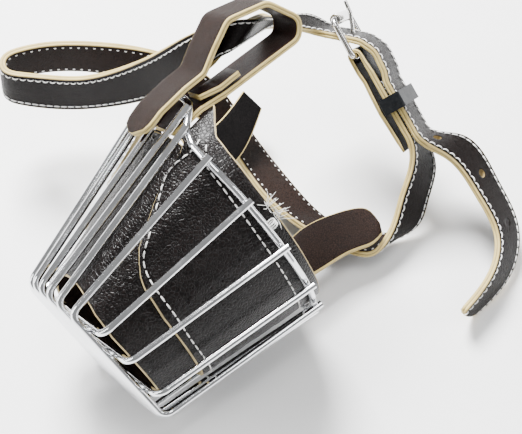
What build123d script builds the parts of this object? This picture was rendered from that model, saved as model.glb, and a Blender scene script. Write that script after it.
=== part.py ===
from build123d import *
from math import copysign, cos, radians, sin
import os

# Basket muzzle for a dog: a spot-welded wire basket, a leather liner inside it, a head tab that
# folds into a loop, and one long neck strap with a roller buckle and a sliding keeper.
# The muzzle lies on its lower right side, as it would on a table.  The origin is on the table,
# below the middle of the lying muzzle, +Z up.  Millimetres.

# --- wire basket --------------------------------------------------------------------------------
wire_radius = 1.5
basket_length = 80.0
rim_half_width = 47.5
rim_half_height = 57.0
nose_half_width = 35.0
nose_half_height = 38.5
rim_centre_rise = 2.3
section_power = 2.3
wire_bend_radius = 5.0
weld_step = 3.05
rim_inset = 3.3
nose_wire_pitch = 7.4
nose_wire_rim_angles = (0, 14, 23, 43)
side_wire_heights = {"upper": 20.7, "middle": 5.8, "lower": -15.5}
side_wire_rim_angles = {"upper": 70, "middle": 92, "lower": 116}
wire_end_overhang = 1.5
rim_setback = 2.5
bridge_arch_depth = 16.5
bridge_arch_angle = 17.0

# --- leather ------------------------------------------------------------------------------------
liner_inset = 7.8
liner_thickness = 2.0
band_inset = 5.1
band_thickness = 2.1
tab_thickness = 2.6
tab_width = 20.0
tab_left_side = 12.0
tongue_tip_radius = 8.0
spacer_thickness = 2.4
spacer_width = 10.0
strap_width = 19.0
strap_thickness = 3.0
turn_back_thickness = 1.8
hole_radius = 2.0

# --- buckle and keeper, in the frame of the straight run of the strap -----------------------------
frame_wire_radius = 1.4
frame_corner_radius = 3.0
frame_side_gap = 2.2
hinge_bar = -26.5
roller_bar = -45.5
bar_height = -4.0
roller_radius = 2.6
roller_bore_radius = 1.5
roller_length = 16.6
prong_radius = 0.9
prong_eye_radius = 2.4
prong_slot_width = 3.2
tail_height = 2.8
neck_height = -1.0
turn_radius = 2.65
keeper_length = 7.4
keeper_wall = 1.7
keeper_clearance = 0.35

# The basket's own frame: x towards the nose, y to the dog's left, z to the top of the muzzle.
heading = 225.3
pitch = 11.4
roll = 35.5
basket = Plane(Location((-12.3, -27.4, 55.3)) * Rot(Z=heading) * Rot(Y=pitch) * Rot(X=roll))
side_view = Plane(origin=basket.origin, x_dir=basket.x_dir, z_dir=-basket.y_dir)

# From the drawing's origin to the middle of the muzzle's base.
base_centre = (0.49, 12.885, 0.05)

# The frame of the strap's straight run: x away from the buckle, y out of the grain side, and the
# strap's width towards -z.
run = Plane(origin=(58.6, 35.3, 53.0), x_dir=(0.493, -0.697, -0.521), z_dir=(-0.370, -0.710, 0.600))

os.makedirs("parts", exist_ok=True)


def save(part, name):
    """Writes a piece, placed so that the origin lies below the middle of the whole muzzle."""
    placed = part.moved(Location(base_centre))
    placed.label = name
    export_step(placed, "parts/" + name + ".step")


def signed_power(value, power):
    return copysign(abs(value) ** power, value)


def section_point(x, angle, inset):
    """Point of the basket's rounded section, at an angle from its top towards its left side."""
    taper = max(0.0, x / basket_length)
    half_width = rim_half_width + (nose_half_width - rim_half_width) * taper - inset
    half_height = rim_half_height + (nose_half_height - rim_half_height) * taper - inset
    across = signed_power(sin(radians(angle)), 2 / section_power)
    upward = signed_power(cos(radians(angle)), 2 / section_power)
    return Vector(x, half_width * across, rim_centre_rise * (1 - taper) + half_height * upward)


def nose_height(y):
    return nose_half_height * (1 - (abs(y) / nose_half_width) ** section_power) ** (1 / section_power)


def nose_width(z):
    return nose_half_width * (1 - (abs(z) / nose_half_height) ** section_power) ** (1 / section_power)


def rim_position(angle):
    """Where the rim wire lies along the basket: it arches back over the bridge of the nose."""
    turn = abs((angle + 180) % 360 - 180)
    return rim_setback - bridge_arch_depth / (1 + (turn / bridge_arch_angle) ** 4)


def rim_end(angle):
    return section_point(rim_position(angle), angle, 0) - Vector(wire_end_overhang, 0, 0)


def sweep_wire(points, bend_radius, closed, name):
    """A round wire along straight runs with bends, its points given in the basket's frame."""
    placed = [basket.from_local_coords(point) for point in points]
    with BuildPart() as wire:
        with BuildLine() as path:
            FilletPolyline(*placed, radius=bend_radius, close=closed)
        with BuildSketch(Plane(origin=path.line @ 0, z_dir=path.line % 0)):
            Circle(wire_radius)
        sweep()
    save(wire.part, name)


# ================================================================================================
# Wire basket
# ================================================================================================

# Seven wires run from the top of the rim over the front of the nose and back to the bottom.
for index, rim_angle in enumerate(nose_wire_rim_angles):
    for side_name, side in (("centre", 0),) if index == 0 else (("left", 1), ("right", -1)):
        y = side * index * nose_wire_pitch
        corner = nose_height(y)
        points = [
            rim_end(side * rim_angle),
            Vector(basket_length, y, corner),
            Vector(basket_length, y, -corner),
            rim_end(180 - side * rim_angle),
        ]
        name = "nose_wire_centre" if index == 0 else f"nose_wire_{side_name}_{index}"
        sweep_wire(points, wire_bend_radius, False, name)

# Three wires run along both sides and cross the front just inside the nose wires.
for level, height in side_wire_heights.items():
    x = basket_length - weld_step
    width = nose_width(height)
    rim_angle = side_wire_rim_angles[level]
    points = [rim_end(rim_angle), Vector(x, width, height), Vector(x, -width, height), rim_end(-rim_angle)]
    sweep_wire(points, wire_bend_radius, False, f"side_wire_{level}")

# The rim wire lies inside the ends of all the others.
rim_angles = [-180 + 10 * step for step in range(36)]
rim_points = [section_point(rim_position(angle), angle, rim_inset) for angle in rim_angles]
sweep_wire(rim_points, 4.0, True, "rim_wire")


# ================================================================================================
# Liner: two layers of leather inside the wires
# ================================================================================================

def leather_sleeve(inset, thickness, stations, outline, name):
    """A sleeve that follows the wires, cut to an outline drawn from the side."""
    with BuildPart() as sleeve:
        for layer_inset, mode in ((inset, Mode.ADD), (inset + thickness, Mode.SUBTRACT)):
            for x in stations:
                origin = basket.from_local_coords(Vector(x, 0, 0))
                with BuildSketch(Plane(origin=origin, x_dir=basket.y_dir, z_dir=basket.x_dir)):
                    with BuildLine():
                        points = [section_point(x, 15 * step, layer_inset) for step in range(24)]
                        Spline(*[(point.Y, point.Z) for point in points], periodic=True)
                    make_face()
            loft(ruled=True, mode=mode)
        with BuildSketch(side_view):
            with BuildLine():
                FilletPolyline(*outline, radius=1.2, close=True)
            make_face()
        extrude(amount=80, both=True, mode=Mode.INTERSECT)
    save(sleeve.part, name)


liner_outline = [(2, 70), (2, -70), (74.5, -70), (74.5, 14), (71, 29), (63, 44), (63, 70)]
band_outline = [
    (-3, -70), (-3.5, -20), (-5, 25), (-8, 46), (-13, 50),
    (8, 48), (24, 43), (45, 33), (52, 26), (54.5, 15), (56.5, -20), (56.5, -70),
]
leather_sleeve(liner_inset, liner_thickness, (0, 76), liner_outline, "liner")
leather_sleeve(band_inset, band_thickness, (-14, 0, 58), band_outline, "cheek_band")


# ================================================================================================
# Head tab: a strip that runs back from the bridge, folds over, and ends as a tongue on the wires
# ================================================================================================

bridge = rim_centre_rise + rim_half_height
head_tab_line = [
    (1, bridge - 7.7), (-14, bridge - 7.7), (-26, 49.0), (-66, 44.0), (-71, 50.5), (-63, 65.4),
    (-45, 71.6), (-33, 66.4), (-24, 61.8), (-14, bridge + 3.4), (0, bridge + 3.2), (12, bridge + 0.8),
]
with BuildPart() as head_tab:
    with BuildSketch(side_view.offset(-tab_left_side)):
        with BuildLine():
            FilletPolyline(*head_tab_line, radius=4.0)
        trace(line_width=tab_thickness)
    extrude(amount=tab_width)
    tip = basket.from_local_coords((12, tab_left_side - tab_width / 2, bridge + 0.8))
    tip_corners = head_tab.edges().filter_by(lambda edge: abs(edge.length - tab_thickness) < 0.01)
    fillet(tip_corners.sort_by_distance(tip)[:2], radius=tongue_tip_radius)
save(head_tab.part, "head_tab")

# A short spacer strip lies on the tab and keeps the folded loop open at its root.
with BuildPart() as tab_spacer:
    with BuildSketch(side_view.offset(-tab_left_side)):
        with BuildLine():
            Polyline((-16.5, 55.7), (-26, 52.5), (-36, 51.6))
        trace(line_width=spacer_thickness)
    extrude(amount=spacer_width)
save(tab_spacer.part, "tab_spacer")


# ================================================================================================
# Straps that turn and twist freely
# ================================================================================================

def strap_path(stations):
    """A spline along the middle of a strap, and the vector across the strap at each station."""
    middles = [(Vector(*first) + Vector(*second)) / 2 for first, second in stations]
    lengths = [0.0]
    for before, after in zip(middles, middles[1:]):
        lengths.append(lengths[-1] + (after - before).length)
    crossings = [
        (length / lengths[-1], Vector(*second) - Vector(*first))
        for length, (first, second) in zip(lengths, stations)
    ]
    return Edge.make_spline(middles), crossings


def strap_section(path, position):
    """The plane across a strap at a position along it, and the strap's width there."""
    line, crossings = path
    for (start, before), (end, after) in zip(crossings, crossings[1:]):
        if position <= end:
            break
    share = min(1.0, (position - start) / (end - start))
    across = before * (1 - share) + after * share
    normal = (line % position).cross(across)
    return Plane(origin=line @ position, x_dir=across, z_dir=across.cross(normal)), across.length


def ribbon(path, start, end, sections, thickness, name, width=None, holes=()):
    with BuildPart() as strap:
        for step in range(sections + 1):
            plane, station_width = strap_section(path, start + (end - start) * step / sections)
            with BuildSketch(plane):
                Rectangle(width or station_width, thickness)
        loft(ruled=True)
        for position in holes:
            plane, _ = strap_section(path, position)
            with BuildSketch(Plane(origin=plane.origin, z_dir=plane.y_dir)):
                Circle(hole_radius)
            extrude(amount=strap_thickness, both=True, mode=Mode.SUBTRACT)
    save(strap.part, name)


def run_point(along, height, across):
    return run.from_local_coords((along, height, -across))


def run_station(along, height):
    return run_point(along, height, 0), run_point(along, height, strap_width)


tail_start = -39.4
tail_start_height = -8.2
tail_bend = (-31.3, 1.3)
run_end = 14.0

# The neck strap from the buckle, through the head tab's loop, round both sides, under the lower
# tab and up to the buckle again.
neck_stations = [
    run_station(tail_start, tail_start_height),
    run_station(-42.2, -11.6),
    ((18.3, 60.9, 73.9), (25.3, 76.2, 65.1)),
    ((6.9, 52, 85.5), (14.4, 67, 77)),
    ((-2.5, 38, 98), (4.5, 53, 91.5)),
    ((-9, 24, 107.5), (0, 39, 107)),
    ((-16, 15, 110), (-8, 28, 115)),
    ((-24, 15, 100), (-22, 26, 113)),
    ((-30, 19, 87), (-37, 28, 102)),
    ((-48, 29, 66), (-55, 34, 82)),
    ((-80, 38, 47), (-80, 40, 66)),
    ((-110, 45, 41), (-106, 47, 60)),
    ((-118, 50, 41), (-116, 50, 60)),
    ((-118, 58, 41), (-117, 57, 60)),
    ((-110, 63, 41), (-110, 62, 60)),
    ((-74, 65, 40), (-75, 66, 59)),
    ((-45, 60, 31), (-40, 67, 47)),
    ((-20, 47, 12.9), (-6, 60, 3.6)),
    ((0, 16.5, 11), (16, 23.5, 3.5)),
    ((22, -6, 12), (34, 3, 3)),
    ((35, -14, 12), (43, -1, 3.5)),
    ((48, -19, 12), (52, -3.5, 4)),
    ((55, -15, 13.5), (64, -2.5, 3.8)),
    ((60, -7, 17), (72.5, 1.5, 6.5)),
    ((64, 4, 25), (77, 11, 14)),
    ((68, 14, 34), (80, 24, 24)),
    run_station(run_end + 4, neck_height),
    run_station(run_end, neck_height),
]
neck_path = strap_path(neck_stations)
ribbon(neck_path, 0.00, 0.20, 20, strap_thickness, "crown_strap", strap_width)
ribbon(neck_path, 0.20, 0.40, 12, strap_thickness, "cheek_strap_front", strap_width)
ribbon(neck_path, 0.40, 0.60, 16, strap_thickness, "cheek_strap_back", strap_width)
ribbon(neck_path, 0.60, 0.80, 12, strap_thickness, "throat_strap", strap_width)
ribbon(neck_path, 0.80, 1.00, 22, strap_thickness, "rising_strap", strap_width)

# The tail beyond the keeper, down to its tip on the table.
tail_stations = [
    run_station(run_end, tail_height),
    run_station(run_end + 4, tail_height),
    ((83, 18, 37), (93, 34, 31)),
    ((98, 3, 27), (109, 17, 20)),
    ((106, -14, 20), (118, -3, 10)),
    ((104, -28, 17), (115, -20, 5)),
    ((87, -52, 15.3), (95, -44, 0.4)),
]
tail_path = strap_path(tail_stations)
ribbon(tail_path, 0.0, 1.0, 18, strap_thickness, "strap_tail", strap_width, holes=(0.12, 0.34, 0.56))


# ================================================================================================
# Straight run of the strap at the buckle and the keeper
# ================================================================================================

with BuildPart() as tail_run:
    with BuildSketch(run):
        with BuildLine():
            FilletPolyline(
                (tail_start, tail_start_height), tail_bend, (-24, 5.0), (-14, 4.4), (-9.8, tail_height),
                (run_end, tail_height),
                radius=4.0,
            )
        trace(line_width=strap_thickness)
    extrude(amount=-strap_width)
    with BuildSketch(run.offset(-(strap_width - prong_slot_width) / 2)):
        with Locations((-34.2, -1.9)):
            Rectangle(11, 4.6)
    extrude(amount=-prong_slot_width, mode=Mode.SUBTRACT)
save(tail_run.part, "buckle_tail_run")

# The end of the strap turns round the hinge bar and lies back along itself, pared thinner.
with BuildPart() as turn_back:
    with BuildSketch(run):
        with Locations(((run_end - 21) / 2, neck_height)):
            Rectangle(run_end + 21, strap_thickness)
        with BuildLine():
            top = bar_height + turn_radius
            bottom = bar_height - turn_radius
            Line((-20, top), (hinge_bar, top))
            CenterArc((hinge_bar, bar_height), turn_radius, 90, 180)
            FilletPolyline(
                (hinge_bar, bottom), (-19, bottom), (-14, -6.1), (-8, -6.5), (2, -6.9), (10, -6.4),
                (22, -5.9),
                radius=8.0,
            )
        trace(line_width=turn_back_thickness)
    extrude(amount=-strap_width)
    with BuildSketch(run.offset(-(strap_width - prong_slot_width) / 2)):
        with Locations((-27.3, bar_height)):
            Rectangle(9.4, 9)
    extrude(amount=-prong_slot_width, mode=Mode.SUBTRACT)
save(turn_back.part, "buckle_turn_back")


# ================================================================================================
# Buckle and keeper
# ================================================================================================

frame_plane = Plane(origin=run_point(0, bar_height, 0), x_dir=run.x_dir, z_dir=run.y_dir)
with BuildPart() as buckle_frame:
    with BuildLine(frame_plane) as frame_path:
        FilletPolyline(
            (hinge_bar, -frame_side_gap),
            (roller_bar, -frame_side_gap),
            (roller_bar, strap_width + frame_side_gap),
            (hinge_bar, strap_width + frame_side_gap),
            radius=frame_corner_radius,
            close=True,
        )
    with BuildSketch(Plane(origin=frame_path.line @ 0, z_dir=frame_path.line % 0)):
        Circle(frame_wire_radius)
    sweep()
save(buckle_frame.part, "buckle_frame")

roller_start = run_point(roller_bar, bar_height, (strap_width - roller_length) / 2)
with BuildPart() as roller:
    with BuildSketch(Plane(origin=roller_start, x_dir=run.x_dir, z_dir=-run.z_dir)):
        Circle(roller_radius)
        Circle(roller_bore_radius, mode=Mode.SUBTRACT)
    extrude(amount=roller_length)
    fillet(roller.edges().filter_by(GeomType.CIRCLE), radius=0.3)
save(roller.part, "buckle_roller")

prong_line = [(-36.7, -2.48), (-45, 1.0), (-51, 1.6)]
prong_eye_end = 95
with BuildPart() as prong:
    with BuildLine(run.offset(-strap_width / 2)) as prong_path:
        CenterArc((hinge_bar, bar_height), prong_eye_radius, -180, 180 + prong_eye_end)
        eye_end_x = hinge_bar + prong_eye_radius * cos(radians(prong_eye_end))
        eye_end_y = bar_height + prong_eye_radius * sin(radians(prong_eye_end))
        Polyline((eye_end_x, eye_end_y), *prong_line)
    with BuildSketch(Plane(origin=prong_path.line @ 0, z_dir=prong_path.line % 0)):
        Circle(prong_radius)
    sweep(transition=Transition.ROUND)
save(prong.part, "buckle_prong")

keeper_bottom = neck_height - strap_thickness / 2 - keeper_clearance
keeper_top = tail_height + strap_thickness / 2 + keeper_clearance
keeper_inside = keeper_top - keeper_bottom
keeper_plane = Plane(
    origin=run_point(-keeper_length / 2, (keeper_top + keeper_bottom) / 2, strap_width / 2),
    x_dir=run.y_dir,
    z_dir=run.x_dir,
)
with BuildPart() as keeper:
    with BuildSketch(keeper_plane):
        RectangleRounded(
            keeper_inside + 2 * keeper_wall,
            strap_width + 2 * keeper_clearance + 2 * keeper_wall,
            radius=0.8,
        )
        Rectangle(keeper_inside, strap_width + 2 * keeper_clearance, mode=Mode.SUBTRACT)
    extrude(amount=keeper_length)
save(keeper.part, "keeper")


# ================================================================================================
# Tabs that guide the strap at the throat
# ================================================================================================

lower_tab_stations = [
    ((3, -31, 13.6), (11.5, -40.6, 19)),
    ((15, -13, 18), (24, -33, 18)),
    ((34, -1, 18), (37, -23, 17)),
    ((45, 2, 18), (45, -19, 17)),
    ((51, -1, 18), (52, -15, 17)),
    ((54, -6, 18), (55, -11, 17)),
]
ribbon(strap_path(lower_tab_stations), 0.0, 1.0, 12, tab_thickness, "lower_tab")

right_tab_stations = [
    ((-35.8, 2.1, 48.5), (-22.8, -4.2, 27.2)),
    ((-32, 24, 36), (-20, 12, 24)),
    ((-20, 46, 26), (-9, 32, 20)),
    ((-9, 66, 24), (0, 59, 19)),
]
ribbon(strap_path(right_tab_stations), 0.0, 1.0, 8, tab_thickness, "right_tab")
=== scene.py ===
import bpy
import numpy as np
from math import acos, cos, pi, radians, sin, tan
from mathutils import Euler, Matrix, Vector


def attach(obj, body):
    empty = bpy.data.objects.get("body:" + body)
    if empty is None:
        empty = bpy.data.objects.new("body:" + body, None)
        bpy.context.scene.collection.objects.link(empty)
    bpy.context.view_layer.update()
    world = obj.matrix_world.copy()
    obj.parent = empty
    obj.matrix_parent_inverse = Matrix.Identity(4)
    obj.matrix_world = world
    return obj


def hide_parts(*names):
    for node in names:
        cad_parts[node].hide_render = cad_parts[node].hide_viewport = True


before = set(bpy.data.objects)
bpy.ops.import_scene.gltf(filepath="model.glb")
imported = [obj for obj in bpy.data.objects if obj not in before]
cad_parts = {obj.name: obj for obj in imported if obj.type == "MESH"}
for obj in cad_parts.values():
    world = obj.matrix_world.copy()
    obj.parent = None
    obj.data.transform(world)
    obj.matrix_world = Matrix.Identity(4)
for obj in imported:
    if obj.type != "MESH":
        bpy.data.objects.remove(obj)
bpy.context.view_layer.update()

# ------------------------------------------------------------------------------------------------
# Frames and numbers shared with the CAD model, in millimetres
# ------------------------------------------------------------------------------------------------
METRES = 0.001
BASE_CENTRE = np.array([0.49, 12.885, 0.05])
BASKET_ORIGIN = np.array([-12.3, -27.4, 55.3])
BASKET_AXES = np.array(Euler((radians(35.5), radians(11.4), radians(225.3)), "XYZ").to_matrix())
RUN_ORIGIN = np.array([58.6, 35.3, 53.0])
RUN_X = np.array([0.493, -0.697, -0.521])
RUN_X /= np.linalg.norm(RUN_X)
RUN_Z = np.array([-0.370, -0.710, 0.600])
RUN_Z -= RUN_X * RUN_Z.dot(RUN_X)
RUN_Z /= np.linalg.norm(RUN_Z)
RUN_Y = np.cross(RUN_Z, RUN_X)
STRAP_WIDTH = 19.0
STRAP_THICKNESS = 3.0
POWER = 2.3
LENGTH = 80.0
RIM_WIDTH, RIM_HEIGHT = 47.5, 57.0
NOSE_WIDTH, NOSE_HEIGHT = 35.0, 38.5
RISE = 2.3


def in_basket(point):
    return BASKET_ORIGIN + BASKET_AXES @ np.asarray(point, float)


def in_run(along, height, across):
    return RUN_ORIGIN + RUN_X * along + RUN_Y * height - RUN_Z * across


# ------------------------------------------------------------------------------------------------
# Camera, light and floor
# ------------------------------------------------------------------------------------------------
CAMERA_DISTANCE = 0.62
CAMERA_ELEVATION = radians(56)
TARGET_HEIGHT = 0.0142
camera_data = bpy.data.cameras.new("camera")
camera_data.sensor_width = 36.0
camera_data.lens = 92.95
camera_data.clip_start = 0.01
camera = bpy.data.objects.new("camera", camera_data)
bpy.context.scene.collection.objects.link(camera)
back_off = CAMERA_DISTANCE * cos(CAMERA_ELEVATION)
height = TARGET_HEIGHT + CAMERA_DISTANCE * sin(CAMERA_ELEVATION)
camera.location = Vector((0, -back_off, height)) + Vector(BASE_CENTRE * METRES)
camera.rotation_euler = (radians(34), 0, 0)
bpy.context.scene.camera = camera

world = bpy.data.worlds.new("studio")
bpy.context.scene.world = world
world.use_nodes = True
world.node_tree.nodes["Background"].inputs[0].default_value = (1.0, 1.0, 1.0, 1)
world.node_tree.nodes["Background"].inputs[1].default_value = 0.36


def area_light(name, location, target, size, power, size_y=None):
    data = bpy.data.lights.new(name, "AREA")
    data.shape = "RECTANGLE"
    data.size = size
    data.size_y = size_y or size
    data.energy = power
    light = bpy.data.objects.new(name, data)
    bpy.context.scene.collection.objects.link(light)
    light.location = location
    light.rotation_euler = (Vector(target) - Vector(location)).to_track_quat("-Z", "Y").to_euler()
    return light


area_light("key_light", (-0.30, 0.70, 1.05), (0, 0, 0.04), 0.5, 82)
area_light("overhead_light", (0.10, -0.10, 1.5), (0, 0, 0.0), 0.5, 9)
area_light("left_strip", (-0.95, -0.25, 0.55), (0, 0, 0.05), 0.16, 7, 0.9)
area_light("right_strip", (0.9, -0.1, 0.6), (0, 0, 0.05), 0.16, 6, 0.9)


# ------------------------------------------------------------------------------------------------
# Materials
# ------------------------------------------------------------------------------------------------
class Nodes:
    """A small helper for writing node materials."""

    def __init__(self, name):
        self.material = bpy.data.materials.new(name)
        self.material.use_nodes = True
        self.tree = self.material.node_tree
        self.shader = self.tree.nodes["Principled BSDF"]

    def add(self, kind, inputs=None, **settings):
        node = self.tree.nodes.new(kind)
        for key, value in settings.items():
            setattr(node, key, value)
        for key, value in (inputs or {}).items():
            self.put(node.inputs[key], value)
        return node

    def put(self, socket, value):
        if isinstance(value, bpy.types.NodeSocket):
            self.tree.links.new(value, socket)
        else:
            socket.default_value = value

    def ramp(self, factor, stops):
        node = self.add("ShaderNodeValToRGB", {"Fac": factor})
        elements = node.color_ramp.elements
        while len(elements) < len(stops):
            elements.new(0.5)
        for element, (position, colour) in zip(elements, stops):
            element.position = position
            element.color = (*colour, 1) if len(colour) == 3 else colour
        return node.outputs["Color"]

    def math(self, operation, first, second=0.0, clamp=False):
        node = self.add("ShaderNodeMath", operation=operation, use_clamp=clamp)
        self.put(node.inputs[0], first)
        self.put(node.inputs[1], second)
        return node.outputs[0]

    def noise(self, vector, scale, detail=3.0, rough=0.55, distortion=0.0):
        node = self.add("ShaderNodeTexNoise", {"Vector": vector, "Scale": scale, "Detail": detail,
                                               "Roughness": rough, "Distortion": distortion})
        return node.outputs["Fac"]

    def mix(self, factor, first, second):
        node = self.add("ShaderNodeMix", data_type="RGBA")
        self.put(node.inputs[0], factor)
        self.put(node.inputs[6], first)
        self.put(node.inputs[7], second)
        return node.outputs[2]

    def bump(self, height, distance, strength=1.0, normal=None):
        node = self.add("ShaderNodeBump", {"Height": height, "Distance": distance, "Strength": strength})
        if normal is not None:
            self.put(node.inputs["Normal"], normal)
        return node.outputs["Normal"]


def leather(name, dark, light, cell, relief, gloss, coat, crease=0.5, specular=0.2):
    """Grain leather: pebbled cells with painted shade in the grooves between them, fine pores, long creases,
    and a little wear.
    """
    m = Nodes(name)
    where = m.add("ShaderNodeTexCoord").outputs["Object"]
    warp = m.add("ShaderNodeTexNoise", {"Vector": where, "Scale": 260.0, "Detail": 2.0})
    bent = m.add("ShaderNodeMix", data_type="RGBA", blend_type="LINEAR_LIGHT")
    m.put(bent.inputs[0], 0.0012)
    m.put(bent.inputs[6], where)
    m.put(bent.inputs[7], warp.outputs["Color"])
    cells = m.add("ShaderNodeTexVoronoi", {"Vector": bent.outputs[2], "Scale": 1.0 / cell},
                  feature="DISTANCE_TO_EDGE")
    groove = m.ramp(cells.outputs["Distance"], [(0.0, (0, 0, 0)), (0.16, (0.7,) * 3), (0.5, (1, 1, 1))])
    pores = m.noise(where, 2600.0, 2.0)
    creases = m.noise(where, 140.0, 4.0, 0.65, 1.6)
    broad = m.noise(where, 22.0, 3.0)
    height = m.math("ADD", m.math("MULTIPLY", groove, 0.55), m.math("MULTIPLY", creases, crease))
    height = m.math("ADD", height, m.math("MULTIPLY", pores, 0.18))
    tone = m.ramp(m.math("ADD", m.math("MULTIPLY", broad, 0.6), m.math("MULTIPLY", creases, 0.4)),
                  [(0.3, dark), (0.72, light)])
    # Painted shade: along the grooves between the grain cells the colour is darkened to 0.35 of the dark tone.
    tone_with_painted_groove_shade = m.mix(m.math("SUBTRACT", 1.0, groove), tone, (dark[0] * 0.35, dark[1] * 0.35, dark[2] * 0.35, 1))
    m.put(m.shader.inputs["Base Color"], tone_with_painted_groove_shade)
    rough = m.ramp(m.math("ADD", m.math("MULTIPLY", creases, 0.5), m.math("MULTIPLY", broad, 0.5)),
                   [(0.3, (gloss,) * 3), (0.75, (gloss + 0.2,) * 3)])
    m.put(m.shader.inputs["Roughness"], rough)
    m.put(m.shader.inputs["Normal"], m.bump(height, relief, 0.8))
    m.shader.inputs["Coat Weight"].default_value = coat
    m.shader.inputs["Coat Roughness"].default_value = 0.22
    m.shader.inputs["Specular IOR Level"].default_value = specular
    return m.material


def cut_edge(name, light, dark, line):
    """The cut edge of the leather: pale fibres that run along it, with the seam between two plies."""
    m = Nodes(name)
    uv = m.add("ShaderNodeUVMap", uv_map="strap").outputs["UV"]
    split = m.add("ShaderNodeSeparateXYZ", {"Vector": uv})
    stretched = m.add("ShaderNodeMapping", {"Vector": uv, "Scale": (90.0, 1500.0, 1.0)})
    fibres = m.noise(stretched.outputs["Vector"], 1.0, 4.0, 0.7)
    where = m.add("ShaderNodeTexCoord").outputs["Object"]
    blotch = m.noise(where, 90.0, 4.0, 0.6)
    fine = m.noise(where, 1500.0, 3.0, 0.6)
    tone = m.ramp(m.math("ADD", m.math("MULTIPLY", fibres, 0.5), m.math("MULTIPLY", blotch, 0.5)),
                  [(0.34, dark), (0.62, light)])
    across = m.math("ABSOLUTE", split.outputs["Y"])
    seam = m.ramp(m.math("MULTIPLY", across, 1000.0),
                  [(0.0, (0.75,) * 3), (0.12, (0.45,) * 3), (0.26, (0, 0, 0))])
    rim = m.ramp(m.math("MULTIPLY", across, 1000.0 / STRAP_THICKNESS * 2),
                 [(0.0, (0, 0, 0)), (0.8, (0, 0, 0)), (1.0, (0.9,) * 3)])
    coloured = m.mix(seam, tone, (*line, 1))
    coloured = m.mix(rim, coloured, (*line, 1))
    m.put(m.shader.inputs["Base Color"], coloured)
    m.put(m.shader.inputs["Roughness"], m.ramp(fine, [(0.3, (0.5,) * 3), (0.7, (0.75,) * 3)]))
    height = m.math("ADD", m.math("MULTIPLY", fibres, 0.7), m.math("MULTIPLY", fine, 0.3))
    m.put(m.shader.inputs["Normal"], m.bump(height, 0.0003, 0.7))
    return m.material


def thread_material():
    """White twisted thread."""
    m = Nodes("thread")
    where = m.add("ShaderNodeTexCoord").outputs["Object"]
    twist = {"Vector": where, "Scale": 900.0, "Distortion": 3.0, "Detail": 2.0}
    strands = m.add("ShaderNodeTexWave", twist, bands_direction="DIAGONAL")
    fluff = m.noise(where, 1200.0, 3.0)
    m.put(m.shader.inputs["Base Color"],
          m.ramp(fluff, [(0.3, (0.72, 0.70, 0.66)), (0.6, (0.93, 0.92, 0.90))]))
    m.put(m.shader.inputs["Roughness"], m.ramp(fluff, [(0.3, (0.6,) * 3), (0.7, (0.85,) * 3)]))
    m.put(m.shader.inputs["Normal"], m.bump(strands.outputs["Fac"], 0.00008, 0.6))
    m.shader.inputs["Sheen Weight"].default_value = 0.3
    return m.material


def chrome(name, colour, rough):
    """Polished plated wire with faint drawing lines, smears and small pits."""
    m = Nodes(name)
    where = m.add("ShaderNodeTexCoord").outputs["Object"]
    smear = m.noise(where, 120.0, 4.0, 0.6, 0.8)
    pits = m.noise(where, 1700.0, 3.0, 0.7)
    broad = m.noise(where, 35.0, 2.0)
    tone = m.ramp(m.math("ADD", m.math("MULTIPLY", smear, 0.5), m.math("MULTIPLY", broad, 0.5)),
                  [(0.3, tuple(c * 0.82 for c in colour)), (0.7, colour)])
    m.put(m.shader.inputs["Base Color"], tone)
    m.shader.inputs["Metallic"].default_value = 1.0
    m.put(m.shader.inputs["Roughness"], m.ramp(smear, [(0.3, (rough,) * 3), (0.75, (rough + 0.14,) * 3)]))
    height = m.math("ADD", m.math("MULTIPLY", pits, 0.3), smear)
    m.put(m.shader.inputs["Normal"], m.bump(height, 0.00012, 0.35))
    return m.material


def moulded_plastic():
    """Smooth black moulded plastic, a little scuffed."""
    m = Nodes("keeper_plastic")
    where = m.add("ShaderNodeTexCoord").outputs["Object"]
    scuffs = m.noise(where, 320.0, 5.0, 0.7, 1.2)
    fine = m.noise(where, 2400.0, 2.0)
    m.put(m.shader.inputs["Base Color"],
          m.ramp(scuffs, [(0.35, (0.006, 0.007, 0.008)), (0.75, (0.02, 0.021, 0.023))]))
    m.put(m.shader.inputs["Roughness"], m.ramp(scuffs, [(0.3, (0.3,) * 3), (0.75, (0.5,) * 3)]))
    m.shader.inputs["Specular IOR Level"].default_value = 0.09
    height = m.math("ADD", fine, m.math("MULTIPLY", scuffs, 0.5))
    m.put(m.shader.inputs["Normal"], m.bump(height, 0.00006, 0.5))
    return m.material


grain = leather("strap_grain", (0.004, 0.0028, 0.0026), (0.014, 0.009, 0.008),
                cell=0.0011, relief=0.00024, gloss=0.3, coat=0.0, crease=0.5, specular=0.07)
flesh = leather("strap_inner", (0.012, 0.007, 0.0055), (0.030, 0.0165, 0.012),
                cell=0.0009, relief=0.0002, gloss=0.5, coat=0.0, crease=0.7, specular=0.06)
smooth = leather("tab_grain", (0.024, 0.010, 0.008), (0.055, 0.023, 0.018),
                 cell=0.0008, relief=0.0001, gloss=0.42, coat=0.0, crease=0.4, specular=0.06)
black = leather("black_leather", (0.003, 0.0027, 0.0028), (0.009, 0.008, 0.008),
                cell=0.0008, relief=0.0001, gloss=0.5, coat=0.0, crease=0.4, specular=0.04)
pebbled = leather("liner_grain", (0.003, 0.002, 0.0019), (0.012, 0.0075, 0.0068),
                  cell=0.0015, relief=0.0004, gloss=0.2, coat=0.08, crease=0.5, specular=0.17)
edge = cut_edge("cut_edge", (0.64, 0.50, 0.19), (0.40, 0.29, 0.09), (0.13, 0.085, 0.03))
thin_edge = cut_edge("band_edge", (0.60, 0.48, 0.24), (0.34, 0.25, 0.11), (0.12, 0.08, 0.03))
thread = thread_material()
wire_metal = chrome("wire_chrome", (0.90, 0.91, 0.93), 0.06)
buckle_metal = chrome("buckle_nickel", (0.78, 0.77, 0.75), 0.12)
plastic = moulded_plastic()


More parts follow.
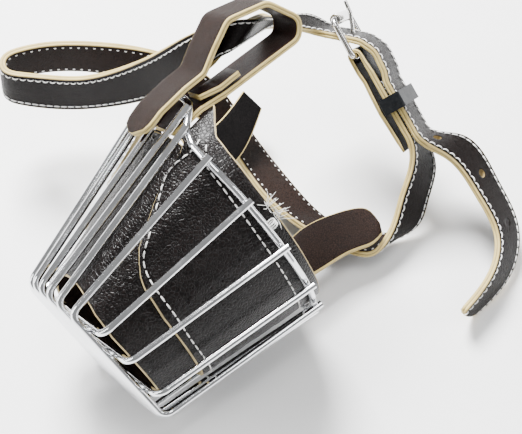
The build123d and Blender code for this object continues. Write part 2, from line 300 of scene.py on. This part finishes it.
# ------------------------------------------------------------------------------------------------
# Mesh helpers
# ------------------------------------------------------------------------------------------------
def new_object(name, vertices, faces, materials, face_materials=None, uvs=None, smooth_faces=True):
    mesh = bpy.data.meshes.new(name)
    placed = (np.asarray(vertices) + BASE_CENTRE) * METRES
    mesh.from_pydata([tuple(v) for v in placed], [], [tuple(f) for f in faces])
    for material in materials:
        mesh.materials.append(material)
    if face_materials is not None:
        mesh.polygons.foreach_set("material_index", face_materials)
    mesh.polygons.foreach_set("use_smooth", [smooth_faces] * len(mesh.polygons))
    if uvs is not None:
        layer = mesh.uv_layers.new(name="strap")
        order = np.zeros(len(mesh.loops), int)
        mesh.loops.foreach_get("vertex_index", order)
        layer.data.foreach_set("uv", (np.asarray(uvs)[order] * METRES).ravel())
    mesh.update()
    made = bpy.data.objects.new(name, mesh)
    bpy.context.scene.collection.objects.link(made)
    return made


def unit(vectors):
    vectors = np.asarray(vectors, float)
    return vectors / np.linalg.norm(vectors, axis=-1, keepdims=True)


def smooth_curve(points, parameters, samples):
    """A natural cubic through the points, evaluated at the sample parameters."""
    points = np.asarray(points, float)
    steps = np.diff(parameters)
    count = len(points)
    matrix = np.eye(count)
    target = np.zeros_like(points)
    for i in range(1, count - 1):
        matrix[i, i - 1:i + 2] = steps[i - 1], 2 * (steps[i - 1] + steps[i]), steps[i]
        slope_on = (points[i + 1] - points[i]) / steps[i]
        slope_back = (points[i] - points[i - 1]) / steps[i - 1]
        target[i] = 6 * (slope_on - slope_back)
    second = np.linalg.solve(matrix, target)
    index = np.clip(np.searchsorted(parameters, samples, side="right") - 1, 0, count - 2)
    step = steps[index][:, None]
    right = (samples - parameters[index])[:, None]
    left = step - right
    return (second[index] * left ** 3 + second[index + 1] * right ** 3) / (6 * step) \
        + (points[index] / step - second[index] * step / 6) * left \
        + (points[index + 1] / step - second[index + 1] * step / 6) * right


def station_path(stations, spacing=2.0):
    """Middle points, vectors across, and distances along, through pairs of edge points."""
    first = np.array([s[0] for s in stations], float)
    second = np.array([s[1] for s in stations], float)
    middle = (first + second) / 2
    along = np.concatenate([[0], np.cumsum(np.linalg.norm(np.diff(middle, axis=0), axis=1))])
    samples = np.linspace(0, along[-1], int(along[-1] / spacing) + 1)
    centres = smooth_curve(middle, along, samples)
    across = smooth_curve(second - first, along, samples)
    return centres, across


def rounded_line(points, radius):
    """2-D points along straight runs with rounded corners."""
    points = [np.array(p, float) for p in points]
    line = [points[0]]
    for before, corner, after in zip(points, points[1:], points[2:]):
        back = unit(before - corner)
        on = unit(after - corner)
        angle = acos(max(-1, min(1, float(back.dot(on)))))
        room = 0.48 * min(np.linalg.norm(before - corner), np.linalg.norm(after - corner))
        reach = min(radius / tan(angle / 2), room)
        start, end = corner + back * reach, corner + on * reach
        turns = max(2, int((pi - angle) / 0.2) + 2)
        for step in np.linspace(0, 1, turns):
            line.append((1 - step) ** 2 * start + 2 * step * (1 - step) * corner + step ** 2 * end)
    line.append(points[-1])
    dense = [line[0]]
    for target in line[1:]:
        gap = np.linalg.norm(target - dense[-1])
        pieces = max(1, int(gap / 2.5))
        origin = dense[-1]
        for step in range(1, pieces + 1):
            dense.append(origin + (target - origin) * step / pieces)
    return np.array(dense)


def run_path(points, radius=4.0):
    flat = rounded_line(points, radius)
    centres = np.array([in_run(x, y, STRAP_WIDTH / 2) for x, y in flat])
    return centres, np.tile(-RUN_Z * STRAP_WIDTH, (len(flat), 1))


def frames(centres, across, width=None):
    tangents = unit(np.gradient(centres, axis=0))
    widths = np.linalg.norm(across, axis=1) if width is None else np.full(len(centres), width)
    sideways = unit(across)
    normals = unit(np.cross(tangents, sideways))
    return tangents, sideways, normals, widths


def strap(name, centres, across, thickness, materials, width=None, seam=0.3, tips=(0, 0), dips=(),
          puff=0.12):
    """A leather strap: a slightly crowned grain side, rounded cut edges with a seam, a flat inner side."""
    tangents, sideways, normals, widths = frames(centres, across, width)
    thickness = np.broadcast_to(thickness, len(centres)).astype(float)
    distance = np.concatenate([[0], np.cumsum(np.linalg.norm(np.diff(centres, axis=0), axis=1))])
    half = widths / 2
    for tip, gap in zip(tips, (distance, distance[-1] - distance)):
        if tip:
            reach = np.clip(gap, 0, tip)
            cut = tip - np.sqrt(np.maximum(tip ** 2 - (tip - reach) ** 2, 0.01))
            half = np.minimum(half, np.maximum(widths / 2 - cut, 0.5))
    vertices, uvs, kinds = [], [], []
    for i in range(len(centres)):
        h = thickness[i] / 2
        w = half[i]
        c = min(0.5, h * 0.5)
        groove = min(seam, 0.3 * w)
        flat = w - c
        top = []
        for u in np.linspace(-1, 1, 19):
            sunk = sum(0.22 * np.exp(-((flat * abs(u) - (w - d)) / 0.55) ** 2) for d in dips)
            top.append((flat * u, h + puff * (1 - u ** 2) - sunk))
        right = [(w - 0.3 * c, h - 0.3 * c), (w, h - c), (w + 0.08, h * 0.5), (w, 0.22), (w - groove, 0.0),
                 (w, -0.22), (w + 0.08, -h * 0.5), (w, -h + c), (w - 0.3 * c, -h + 0.3 * c)]
        bottom = [(flat * u, -h) for u in np.linspace(1, -1, 9)]
        left = [(-x, y) for x, y in reversed(right)]
        profile = top + right + bottom + left
        if not kinds:
            kinds = [0] * 18 + [1] * 10 + [2] * 8 + [1] * 10
        for x, y in profile:
            vertices.append(centres[i] + sideways[i] * x + normals[i] * y)
            uvs.append((distance[i], y))
    count = len(kinds)
    faces, face_kinds = [], []
    for i in range(len(centres) - 1):
        for j in range(count):
            k = (j + 1) % count
            faces.append((i * count + j, i * count + k, (i + 1) * count + k, (i + 1) * count + j))
            face_kinds.append(kinds[j])
    faces.append(tuple(range(count - 1, -1, -1)))
    faces.append(tuple(range((len(centres) - 1) * count, len(centres) * count)))
    face_kinds += [1, 1]
    made = new_object(name, vertices, faces, materials, face_kinds, uvs)
    return made


def tubes(name, runs, radius, material, sides=6):
    """Many short round threads in one mesh. Each run is an array of points."""
    vertices, faces = [], []
    for line in runs:
        line = np.asarray(line, float)
        ahead = unit(np.gradient(line, axis=0))
        guide = np.array([0.3, 0.5, 0.81]) if abs(ahead[0][2]) < 0.9 else np.array([1.0, 0.2, 0])
        u = unit(np.cross(ahead, guide))
        v = np.cross(ahead, u)
        base = len(vertices)
        for i in range(len(line)):
            size = radius * (0.55 if i in (0, len(line) - 1) else 1.0)
            for s in range(sides):
                turn = 2 * pi * s / sides
                vertices.append(line[i] + size * (cos(turn) * u[i] + sin(turn) * v[i]))
        for i in range(len(line) - 1):
            for s in range(sides):
                t = (s + 1) % sides
                faces.append((base + i * sides + s, base + i * sides + t,
                              base + (i + 1) * sides + t, base + (i + 1) * sides + s))
        faces.append(tuple(base + s for s in range(sides - 1, -1, -1)))
        faces.append(tuple(base + (len(line) - 1) * sides + s for s in range(sides)))
    return new_object(name, vertices, faces, [material])


def stitch_row(points, normals, pitch, share, rise, start=0.0, bow=None):
    """Short threads along a line: each comes up, lies on the leather and goes down again."""
    points = np.asarray(points, float)
    distance = np.concatenate([[0], np.cumsum(np.linalg.norm(np.diff(points, axis=0), axis=1))])
    runs = []
    position = start
    while position + pitch * share < distance[-1]:
        spots = np.linspace(position, position + pitch * share, 6)
        line = np.stack([np.interp(spots, distance, points[:, a]) for a in range(3)], 1)
        up = unit(np.stack([np.interp(spots, distance, normals[:, a]) for a in range(3)], 1))
        arch = np.array([-0.45, 0.5, 0.95, 1.0, 0.6, -0.45])[:, None]
        line = line + up * arch * rise
        if bow is not None:
            lean = np.stack([np.interp(spots, distance, bow[:, a]) for a in range(3)], 1)
            line = line + lean * np.sin(np.linspace(0, pi, 6))[:, None]
        runs.append(line)
        position += pitch
    return runs


def strap_stitches(centres, across, thickness, rows, pitch=3.6, share=0.86, width=None, sides=(1, -1),
                   trim=3.0):
    tangents, sideways, normals, widths = frames(centres, across, width)
    thickness = np.broadcast_to(thickness, len(centres))
    runs = []
    for side in sides:
        for row in rows:
            for edge_side in (-1, 1):
                offset = edge_side * (widths / 2 - row)
                height = side * (thickness / 2 - 0.08)
                surface = centres + sideways * offset[:, None] + normals * height[:, None]
                runs += stitch_row(surface, normals * side, pitch, share if side > 0 else 0.3,
                                   0.32 if side > 0 else 0.22, trim + (0 if side > 0 else pitch * 0.4),
                                   -sideways * edge_side * (0.45 if side > 0 else 0.0))
    return runs


def cut(target, cutter):
    """Removes the cutter's space from the target, for good."""
    modifier = target.modifiers.new("cut", "BOOLEAN")
    modifier.operation = "DIFFERENCE"
    modifier.solver = "EXACT"
    modifier.object = cutter
    bpy.context.view_layer.update()
    evaluated = target.evaluated_get(bpy.context.evaluated_depsgraph_get())
    mesh = bpy.data.meshes.new_from_object(evaluated)
    target.modifiers.clear()
    target.data = mesh
    bpy.data.objects.remove(cutter, do_unlink=True)


def prism(name, section, origin, x_axis, y_axis, direction, length):
    """A closed prism from a 2-D section, for cutting slots and holes."""
    ring = [origin + x_axis * x + y_axis * y for x, y in section]
    count = len(ring)
    vertices = [p for p in ring] + [p + direction * length for p in ring]
    faces = [tuple(range(count - 1, -1, -1)), tuple(range(count, 2 * count))]
    faces += [(i, (i + 1) % count, count + (i + 1) % count, count + i) for i in range(count)]
    return new_object(name, vertices, faces, [edge], smooth_faces=False)


# ------------------------------------------------------------------------------------------------
# The neck strap: one piece of leather, from its turned-back end to the tip of its tail
# ------------------------------------------------------------------------------------------------
BAR, BAR_HEIGHT, TURN = -26.5, -4.0, 2.65
arc = [(BAR + TURN * cos(radians(a)), BAR_HEIGHT + TURN * sin(radians(a))) for a in range(-100, -261, -16)]
turn_back = [(22, -5.9), (10, -6.4), (2, -6.9), (-8, -6.5), (-14, -6.1), (-19, -6.65), (BAR + 0.8, -6.65)]
turn_on = [(BAR + 0.8, -1.35), (-21, -1.3), (-17, -1.0), (14, -1.0)]
turned = np.vstack([rounded_line(turn_back, 8.0), arc, rounded_line(turn_on, 4.0)])
turned_points = np.array([in_run(x, y, STRAP_WIDTH / 2) for x, y in turned])
turned_across = np.tile(-RUN_Z * STRAP_WIDTH, (len(turned), 1))
turned_thickness = np.interp(
    np.arange(len(turned)), [0, 2, len(turned) - 18, len(turned) - 12, len(turned)], [1.0, 1.8, 1.8, 3.0, 3.0])


def run_station(along, height):
    return in_run(along, height, 0), in_run(along, height, STRAP_WIDTH)


neck_stations = [
    run_station(14, -1.0),
    run_station(18, -1.0),
    ((68, 14, 34), (80, 24, 24)),
    ((64, 4, 25), (77, 11, 14)),
    ((60, -7, 17), (72.5, 1.5, 6.5)),
    ((55, -15, 13.5), (64, -2.5, 3.8)),
    ((48, -19, 12), (52, -3.5, 4)),
    ((35, -14, 12), (43, -1, 3.5)),
    ((22, -6, 12), (34, 3, 3)),
    ((0, 16.5, 11), (16, 23.5, 3.5)),
    ((-20, 47, 12.9), (-6, 60, 3.6)),
    ((-45, 60, 31), (-40, 67, 47)),
    ((-74, 65, 40), (-75, 66, 59)),
    ((-110, 63, 41), (-110, 62, 60)),
    ((-118, 58, 41), (-117, 57, 60)),
    ((-118, 50, 41), (-116, 50, 60)),
    ((-110, 45, 41), (-106, 47, 60)),
    ((-80, 38, 47), (-80, 40, 66)),
    ((-48, 29, 66), (-55, 34, 82)),
    ((-30, 19, 87), (-37, 28, 102)),
    ((-24, 15, 100), (-22, 26, 113)),
    ((-16, 15, 110), (-8, 28, 115)),
    ((-9, 24, 107.5), (0, 39, 107)),
    ((-2.5, 38, 98), (4.5, 53, 91.5)),
    ((6.9, 52, 85.5), (14.4, 67, 77)),
    ((18.3, 60.9, 73.9), (25.3, 76.2, 65.1)),
    run_station(-42.2, -11.6),
    run_station(-39.4, -8.2),
]
neck_points, neck_across = station_path(neck_stations)
tail_run_points, tail_run_across = run_path(
    [(-39.4, -8.2), (-31.3, 1.3), (-24, 5.0), (-14, 4.4), (-9.8, 2.8), (14, 2.8)], 9.0)
tail_stations = [
    run_station(14, 2.8),
    run_station(18, 2.8),
    ((83, 18, 37), (93, 34, 31)),
    ((98, 3, 27), (109, 17, 20)),
    ((106, -14, 20), (118, -3, 10)),
    ((104, -28, 17), (115, -20, 5)),
    ((87, -52, 15.3), (95, -44, 0.4)),
]
tail_points, tail_across = station_path(tail_stations)

strap_points = np.vstack([turned_points, neck_points[1:], tail_run_points[1:], tail_points[1:]])
strap_across = np.vstack([turned_across, neck_across[1:], tail_run_across[1:], tail_across[1:]])
full_part = np.full(len(strap_points) - len(turned_points), STRAP_THICKNESS)
strap_thickness = np.concatenate([turned_thickness, full_part])
neck_strap = strap("neck_strap", strap_points, strap_across, strap_thickness, [grain, edge, flesh],
                   width=STRAP_WIDTH, dips=(1.9,), tips=(0, 6))

middle = (STRAP_WIDTH - 3.2) / 2
box = [(-1, -1), (1, -1), (1, 1), (-1, 1)]
for centre_x, centre_y, size_x, size_y in ((-34.2, -1.9, 5.5, 2.3), (-27.3, BAR_HEIGHT, 4.7, 4.5)):
    section = [(centre_x + size_x * x, centre_y + size_y * y) for x, y in box]
    origin = in_run(0, 0, middle)
    cut(neck_strap, prism("slot_cutter", section, origin, RUN_X, RUN_Y, -RUN_Z, 3.2))

t_tail, s_tail, n_tail, _ = frames(tail_points, tail_across, STRAP_WIDTH)
circle = [(2.0 * cos(a), 2.0 * sin(a)) for a in np.linspace(0, 2 * pi, 25)[:-1]]
for share in (0.12, 0.34, 0.56):
    i = int(share * (len(tail_points) - 1))
    start = tail_points[i] - n_tail[i] * 4
    cut(neck_strap, prism("hole_cutter", circle, start, t_tail[i], s_tail[i], n_tail[i], 8))

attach(neck_strap, "muzzle")
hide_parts("crown_strap", "cheek_strap_front", "cheek_strap_back", "throat_strap",
            "rising_strap", "strap_tail", "buckle_tail_run", "buckle_turn_back")

first_full = len(turned_points) - 12
stitch_points = strap_points[first_full:]
runs = strap_stitches(stitch_points, strap_across[first_full:], STRAP_THICKNESS, (1.9,), width=STRAP_WIDTH)
strap_thread = tubes("strap_stitching", runs, 0.31, thread)
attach(strap_thread, "muzzle")


# ------------------------------------------------------------------------------------------------
# Liner and cheek band: sleeves that follow the wires
# ------------------------------------------------------------------------------------------------
def half_sizes(x, inset):
    taper = max(0.0, x / LENGTH)
    return (RIM_WIDTH + (NOSE_WIDTH - RIM_WIDTH) * taper - inset,
            RIM_HEIGHT + (NOSE_HEIGHT - RIM_HEIGHT) * taper - inset, RISE * (1 - taper))


def sleeve_point(x, angle, inset):
    wide, high, rise = half_sizes(x, inset)
    s, c = sin(angle), cos(angle)
    power = 2 / POWER
    return np.array([x, wide * np.sign(s) * abs(s) ** power, rise + high * np.sign(c) * abs(c) ** power])


def sleeve_angle(x, z, inset):
    wide, high, rise = half_sizes(x, inset)
    share = max(-1.0, min(1.0, (z - rise) / high))
    return acos(np.sign(share) * abs(share) ** (POWER / 2))


def sleeve(name, inset, thickness, back, front, top, materials, columns=160, rows=26):
    """A sleeve between two edges drawn from the side. back and front give x for a height z."""
    start = 0.0 if top is None else sleeve_angle(0, top, inset)
    closed = top is None
    angles = np.linspace(start, 2 * pi - start, columns + 1)
    if closed:
        angles = angles[:-1]
    vertices, faces, kinds, uvs = [], [], [], []
    profile = len(angles)
    ring = 2 * rows + 10
    for angle in angles:
        x0 = x1 = 0.0
        for _ in range(6):
            x0 = back(sleeve_point(x0, angle, inset)[2])
            x1 = front(sleeve_point(x1, angle, inset)[2])
        x1 = max(x1, x0 + 1.2)
        line = []
        rounding = ((0.15, 0.2), (0.0, 0.55), (0.02, thickness / 2), (0.0, thickness - 0.55),
                    (0.15, thickness - 0.15))
        for step in np.linspace(0, 1, rows):
            x = x0 + 0.5 + (x1 - x0 - 1.0) * step
            lift = 0.16 * sin(x * 0.21 + angle * 5.0) + 0.12 * sin(x * 0.5 + angle * 11.0)
            line.append((x, inset + 0.12 + lift * 0.5))
        for back_off, depth in rounding:
            line.append((x1 - back_off, inset + depth))
        for step in np.linspace(1, 0, rows):
            line.append((x0 + 0.5 + (x1 - x0 - 1.0) * step, inset + thickness))
        for back_off, depth in reversed(rounding):
            line.append((x0 + back_off, inset + depth))
        for x, depth in line:
            vertices.append(in_basket(sleeve_point(x, angle, depth)))
            uvs.append((angle * 45.0, (depth - inset - thickness / 2) * 1.4))
    span = profile if closed else profile - 1
    for i in range(span):
        following = (i + 1) % profile
        for j in range(ring):
            k = (j + 1) % ring
            faces.append((i * ring + j, following * ring + j, following * ring + k, i * ring + k))
            inner = rows + 5 <= j < 2 * rows + 4
            kinds.append(0 if j < rows - 1 else 2 if inner else 1)
    if not closed:
        faces.append(tuple(range(ring)))
        faces.append(tuple(range((profile - 1) * ring + ring - 1, (profile - 1) * ring - 1, -1)))
        kinds += [1, 1]
    return new_object(name, vertices, faces, materials, kinds, uvs)


def by_height(pairs):
    heights, values = zip(*pairs)
    return lambda z: float(np.interp(z, heights, values))


liner_back = by_height([(-70, 2), (70, 2)])
liner_front = by_height([(-70, 74.5), (14, 74.5), (24, 73), (29, 71), (44, 63), (70, 63)])
band_back = by_height([(-70, -3), (-20, -3.5), (25, -5), (40, -7), (46, -8.5), (49, -13), (52, -19)])
band_front = by_height([(-70, 56.5), (-20, 56.5), (8, 55.3), (16, 54), (22, 53), (26, 51), (30, 47.5),
                        (34, 43), (43, 24), (46, 15), (48, 7), (50, 2), (52, 1)])
liner = sleeve("liner", 7.8, 2.0, liner_back, liner_front, None, [pebbled, thin_edge, flesh])
band = sleeve("cheek_band", 5.1, 2.1, band_back, band_front, 51.6, [pebbled, thin_edge, flesh])
for piece, node in ((liner, "liner"), (band, "cheek_band")):
    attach(piece, "muzzle")
    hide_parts(node)


def sleeve_line(pairs, inset, side):
    """Points and outward directions along a line drawn from the side. side 1 is the left, -1 the right."""
    pairs = np.array(pairs, float)
    length = np.concatenate([[0], np.cumsum(np.linalg.norm(np.diff(pairs, axis=0), axis=1))])
    samples = np.linspace(0, length[-1], int(length[-1] / 1.0) + 2)
    flat = smooth_curve(pairs, length, samples)
    points, normals = [], []
    for x, z in flat:
        angle = sleeve_angle(x, z, inset) * side
        point = sleeve_point(x, angle, inset)
        ahead = sleeve_point(x, angle + 0.02, inset) - sleeve_point(x, angle - 0.02, inset)
        along = sleeve_point(x + 1, angle, inset) - point
        outward = unit(np.cross(ahead, along))
        if outward.dot([0, point[1], point[2]]) < 0:
            outward = -outward
        points.append(in_basket(point))
        normals.append(BASKET_AXES @ outward)
    return np.array(points), np.array(normals)


cheek_row = [(-3, 48.2), (2.7, 47.2), (8.2, 46.9), (14.2, 46.0), (22.8, 42.4), (27.9, 39.8), (37.3, 34.7),
             (46.5, 28.6), (49.2, 22.6), (51, 7.7), (52.5, -7.2), (52.6, -24.5), (52.6, -40)]
rim_row = [(-3.0, 46.0), (3.0, 41.1), (4.6, 34.4), (5.5, 27.1), (6.2, 19.1), (6.7, 11.7), (7.3, -1.6),
           (7.6, -9.3), (8.0, -25), (8.0, -40)]
runs = []
for side in (1, -1):
    for row in (cheek_row, rim_row):
        points, normals = sleeve_line(row, 4.95, side)
        runs += stitch_row(points, normals, 3.9, 0.72, 0.34)
band_thread = tubes("band_stitching", runs, 0.34, thread)
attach(band_thread, "muzzle")


# ------------------------------------------------------------------------------------------------
# Tabs
# ------------------------------------------------------------------------------------------------
def basket_strip(profile, y0, y1, radius):
    flat = rounded_line(profile, radius)
    middle_y = (y0 + y1) / 2
    centres = np.array([in_basket((x, middle_y, z)) for x, z in flat])
    across = np.tile(BASKET_AXES @ np.array([0.0, y0 - y1, 0.0]), (len(flat), 1))
    return centres, across


BRIDGE = RISE + RIM_HEIGHT
head_line = [(1, BRIDGE - 7.7), (-14, BRIDGE - 7.7), (-26, 49.0), (-66, 44.0), (-71, 50.5), (-63, 65.4),
             (-45, 71.6), (-33, 66.4), (-24, 61.8), (-14, BRIDGE + 3.4), (0, BRIDGE + 3.2), (12, BRIDGE + 0.8)]
head_points, head_across = basket_strip(head_line, -8.0, 12.0, 6.0)
head_tab = strap("head_tab", head_points, head_across, 2.6, [smooth, edge, flesh], tips=(0, 8))
spacer_points, spacer_across = basket_strip([(-16.5, 55.7), (-26, 52.5), (-36, 51.6)], 2.0, 12.0, 4.0)
spacer = strap("tab_spacer", spacer_points, spacer_across, 2.4, [smooth, edge, flesh])
lower_points, lower_across = station_path([
    ((3, -31, 13.6), (11.5, -40.6, 19)), ((15, -13, 18), (24, -33, 18)), ((34, -1, 18), (37, -23, 17)),
    ((45, 2, 18), (45, -19, 17)), ((51, -1, 18), (52, -15, 17)), ((54, -6, 18), (55, -11, 17))])
lower_tab = strap("lower_tab", lower_points, lower_across, 2.6, [smooth, edge, flesh])
right_points, right_across = station_path([
    ((-35.8, 2.1, 48.5), (-22.8, -4.2, 27.2)), ((-32, 24, 36), (-20, 12, 24)),
    ((-20, 46, 26), (-9, 32, 20)), ((-9, 66, 24), (0, 59, 19))])
right_tab = strap("right_tab", right_points, right_across, 2.6, [black, edge, black])
tabs = ((head_tab, "head_tab"), (spacer, "tab_spacer"), (lower_tab, "lower_tab"), (right_tab, "right_tab"))
for piece, node in tabs:
    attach(piece, "muzzle")
    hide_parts(node)


# Loose white thread ends at the rim-side edge, and a tie of thread round the rim wire
rng = np.random.default_rng(4)
runs = []
for _ in range(26):
    z = rng.uniform(8.0, 17.0)
    root = sleeve_point(-3.2, sleeve_angle(-3.2, z, 4.9), 4.9)
    reach = rng.uniform(2.5, 6.5)
    lean = np.array([rng.uniform(-1.0, 0.25), rng.uniform(0.05, 0.5), rng.uniform(-0.6, 0.8)])
    curl = rng.normal(0, 0.9, 3)
    shares = np.linspace(0, 1, 7)[:, None]
    line = root + unit(lean) * reach * shares + curl * shares ** 2
    runs.append(np.array([in_basket(p) for p in line]))
tuft = tubes("frayed_thread", runs, 0.11, thread, 5)
runs = []
for z in (8.6, 9.6, 10.6):
    centre = sleeve_point(0, sleeve_angle(0, z, 3.3), 3.3)
    turn = np.linspace(0, 2 * pi, 15)
    ring = [in_basket(centre + np.array([1.85 * cos(a), 1.85 * sin(a), 0.5 * sin(a * 0.5)])) for a in turn]
    runs.append(np.array(ring))
tie = tubes("thread_tie", runs, 0.3, thread)
for piece in (tuft, tie):
    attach(piece, "muzzle")


# ------------------------------------------------------------------------------------------------
# Metal and plastic: the CAD's own parts, with their materials
# ------------------------------------------------------------------------------------------------
def dress(node, material):
    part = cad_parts[node]
    if part.material_slots:
        for entry in part.material_slots:
            entry.link = "OBJECT"
            entry.material = material
    else:
        part.data.materials.append(material)


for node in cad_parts:
    if "wire" in node:
        dress(node, wire_metal)
for node in ("buckle_frame", "buckle_roller", "buckle_prong"):
    dress(node, buckle_metal)
dress("keeper", plastic)


# ------------------------------------------------------------------------------------------------
# Floor
# ------------------------------------------------------------------------------------------------
floor_paint = Nodes("floor_paint")
where = floor_paint.add("ShaderNodeTexCoord").outputs["Object"]
grainy = floor_paint.noise(where, 40.0, 3.0)
floor_paint.put(floor_paint.shader.inputs["Base Color"],
                floor_paint.ramp(grainy, [(0.3, (0.94, 0.94, 0.94)), (0.7, (0.96, 0.96, 0.96))]))
floor_paint.put(floor_paint.shader.inputs["Roughness"],
                floor_paint.ramp(grainy, [(0.3, (0.55,) * 3), (0.7, (0.65,) * 3)]))
REACH, FLOOR_HEIGHT = 3000, -0.06
corners = [(x * REACH, y * REACH, FLOOR_HEIGHT) for x, y in ((-1, -1), (1, -1), (1, 1), (-1, 1))]
floor = new_object("floor", corners, [(0, 1, 2, 3)], [floor_paint.material])
